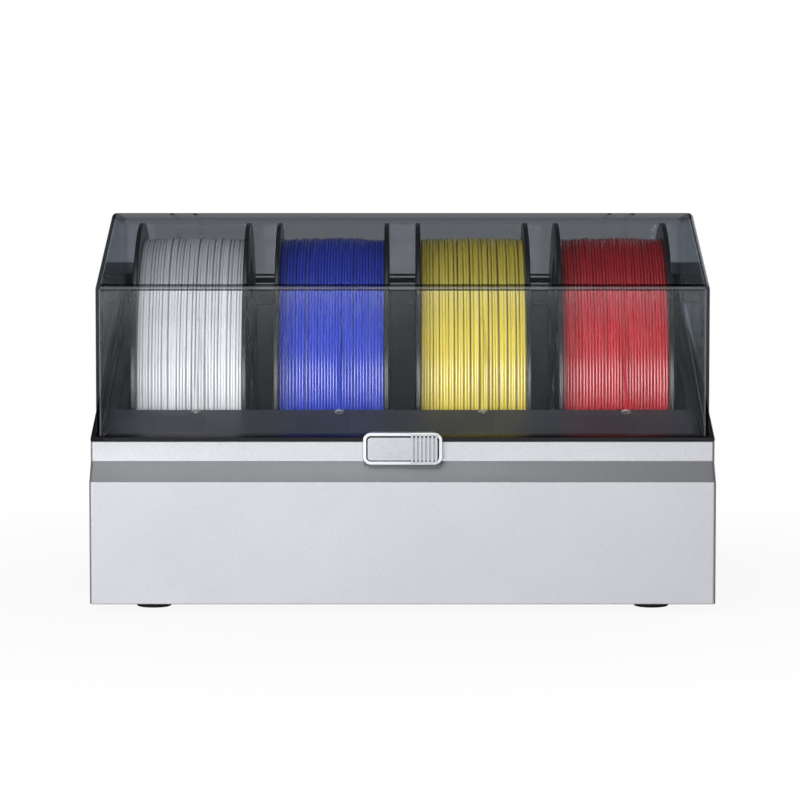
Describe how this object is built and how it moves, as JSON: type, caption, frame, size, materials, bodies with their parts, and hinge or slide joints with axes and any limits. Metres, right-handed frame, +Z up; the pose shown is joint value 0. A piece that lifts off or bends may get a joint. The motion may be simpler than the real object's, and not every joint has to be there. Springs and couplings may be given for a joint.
{
  "type": "filament dryer box",
  "caption": "Filament dryer box with a silver wedge-shaped case, smoked hinged lid and sliding latch, holding spools on rollers above a heated floor.",
  "frame": {"origin": "on the floor under the middle of the whole object", "axes": "+Z up, +X to the right seen from the front, +Y towards the back"},
  "size_m": [0.364, 0.289, 0.2258],
  "materials": {
    "silver_case": "fine-grained silver-grey",
    "dark_liner": "moulded, dark grey",
    "dark_gloss": "glossy, near black",
    "smoked_lid": "clear, smoked grey",
    "spool_black": "satin black",
    "filament_white": "satin strand",
    "filament_blue": "satin strand",
    "filament_yellow": "satin strand",
    "filament_red": "satin strand",
    "black_rubber": "matte",
    "steel": "brushed",
    "bare_aluminium": "plain",
    "pale_tube": "translucent white",
    "board_green": "coated board"
  },
  "bodies": {
    "base": {"bottom_plate": "dark_liner", "front_panel": "silver_case", "side_panel_left": "silver_case", "side_panel_right": "silver_case", "rear_panel": "silver_case", "feet": "black_rubber", "foot_screws": "steel", "chamber_floor": "dark_liner", "chamber_wall_left": "dark_liner", "chamber_wall_right": "dark_liner", "chamber_wall_front": "dark_liner", "chamber_wall_rear": "dark_liner", "rear_bay_cover": "dark_liner", "rim_gasket": "black_rubber", "front_deck": "dark_liner", "feeder_covers": "dark_liner", "inlet_guides": "pale_tube", "filament_leads": "filament_white", "feeder_housings": "dark_liner", "feeder_motors": "steel", "feed_tubes": "pale_tube", "fan_frame": "dark_liner", "heater_core": "bare_aluminium", "control_board": "board_green", "humidity_sensor": "pale_tube", "power_inlet": "dark_liner", "filament_outlets": "dark_gloss", "roller_posts": "dark_liner", "hinge_towers": "silver_case", "hinge_pins": "steel", "latch_keeper": "silver_case"},
    "lid": {"lid_shell": "smoked_lid", "lid_side_left": "smoked_lid", "lid_side_right": "smoked_lid", "lid_rim": "dark_gloss", "hinge_straps": "smoked_lid", "latch_frame": "silver_case"},
    "latch_slider": {"latch_slider": "silver_case"},
    "fan_rotor": {"fan_rotor": "dark_liner"},
    "spool_1": {"spool_1": "spool_black", "filament_1": "filament_white", "filament_1_winding": "filament_white"},
    "roller_1_front": {"roller_1_front": "black_rubber"},
    "roller_1_rear": {"roller_1_rear": "black_rubber"},
    "spool_2": {"spool_2": "spool_black", "filament_2": "filament_blue", "filament_2_winding": "filament_blue"},
    "roller_2_front": {"roller_2_front": "black_rubber"},
    "roller_2_rear": {"roller_2_rear": "black_rubber"},
    "spool_3": {"spool_3": "spool_black", "filament_3": "filament_yellow", "filament_3_winding": "filament_yellow"},
    "roller_3_front": {"roller_3_front": "black_rubber"},
    "roller_3_rear": {"roller_3_rear": "black_rubber"},
    "spool_4": {"spool_4": "spool_black", "filament_4": "filament_red", "filament_4_winding": "filament_red"},
    "roller_4_front": {"roller_4_front": "black_rubber"},
    "roller_4_rear": {"roller_4_rear": "black_rubber"}
  },
  "joints": [
    {"name": "lid_hinge", "type": "hinge", "parent": "base", "child": "lid", "pos_m": [0, 0.135, 0.18386], "axis": [-1, 0, 0], "range_deg": [0, 95]},
    {"name": "latch_slide", "type": "slide", "parent": "lid", "child": "latch_slider", "axis": [1, 0, 0], "range_m": [0, 0.0024]},
    {"name": "fan_spin", "type": "hinge", "parent": "base", "child": "fan_rotor", "pos_m": [0, -0.0875, 0.0555], "axis": [0, 1, 0], "continuous": true},
    {"name": "spool_1_spin", "type": "hinge", "parent": "base", "child": "spool_1", "pos_m": [-0.1278, 0.0275, 0.1192], "axis": [1, 0, 0], "continuous": true},
    {"name": "roller_1_front_spin", "type": "hinge", "parent": "base", "child": "roller_1_front", "pos_m": [-0.1278, -0.02936, 0.0282], "axis": [1, 0, 0], "continuous": true},
    {"name": "roller_1_rear_spin", "type": "hinge", "parent": "base", "child": "roller_1_rear", "pos_m": [-0.1278, 0.08436, 0.0282], "axis": [1, 0, 0], "continuous": true},
    {"name": "spool_2_spin", "type": "hinge", "parent": "base", "child": "spool_2", "pos_m": [-0.0426, 0.0275, 0.1192], "axis": [1, 0, 0], "continuous": true},
    {"name": "roller_2_front_spin", "type": "hinge", "parent": "base", "child": "roller_2_front", "pos_m": [-0.0426, -0.02936, 0.0282], "axis": [1, 0, 0], "continuous": true},
    {"name": "roller_2_rear_spin", "type": "hinge", "parent": "base", "child": "roller_2_rear", "pos_m": [-0.0426, 0.08436, 0.0282], "axis": [1, 0, 0], "continuous": true},
    {"name": "spool_3_spin", "type": "hinge", "parent": "base", "child": "spool_3", "pos_m": [0.0426, 0.0275, 0.1192], "axis": [1, 0, 0], "continuous": true},
    {"name": "roller_3_front_spin", "type": "hinge", "parent": "base", "child": "roller_3_front", "pos_m": [0.0426, -0.02936, 0.0282], "axis": [1, 0, 0], "continuous": true},
    {"name": "roller_3_rear_spin", "type": "hinge", "parent": "base", "child": "roller_3_rear", "pos_m": [0.0426, 0.08436, 0.0282], "axis": [1, 0, 0], "continuous": true},
    {"name": "spool_4_spin", "type": "hinge", "parent": "base", "child": "spool_4", "pos_m": [0.1278, 0.0275, 0.1192], "axis": [1, 0, 0], "continuous": true},
    {"name": "roller_4_front_spin", "type": "hinge", "parent": "base", "child": "roller_4_front", "pos_m": [0.1278, -0.02936, 0.0282], "axis": [1, 0, 0], "continuous": true},
    {"name": "roller_4_rear_spin", "type": "hinge", "parent": "base", "child": "roller_4_rear", "pos_m": [0.1278, 0.08436, 0.0282], "axis": [1, 0, 0], "continuous": true}
  ],
  "couplings": [
    {"joint": "roller_1_front_spin", "follows": "spool_1_spin", "ratio": -14.286},
    {"joint": "roller_1_rear_spin", "follows": "spool_1_spin", "ratio": -14.286},
    {"joint": "roller_2_front_spin", "follows": "spool_2_spin", "ratio": -14.286},
    {"joint": "roller_2_rear_spin", "follows": "spool_2_spin", "ratio": -14.286},
    {"joint": "roller_3_front_spin", "follows": "spool_3_spin", "ratio": -14.286},
    {"joint": "roller_3_rear_spin", "follows": "spool_3_spin", "ratio": -14.286},
    {"joint": "roller_4_front_spin", "follows": "spool_4_spin", "ratio": -14.286},
    {"joint": "roller_4_rear_spin", "follows": "spool_4_spin", "ratio": -14.286}
  ]
}
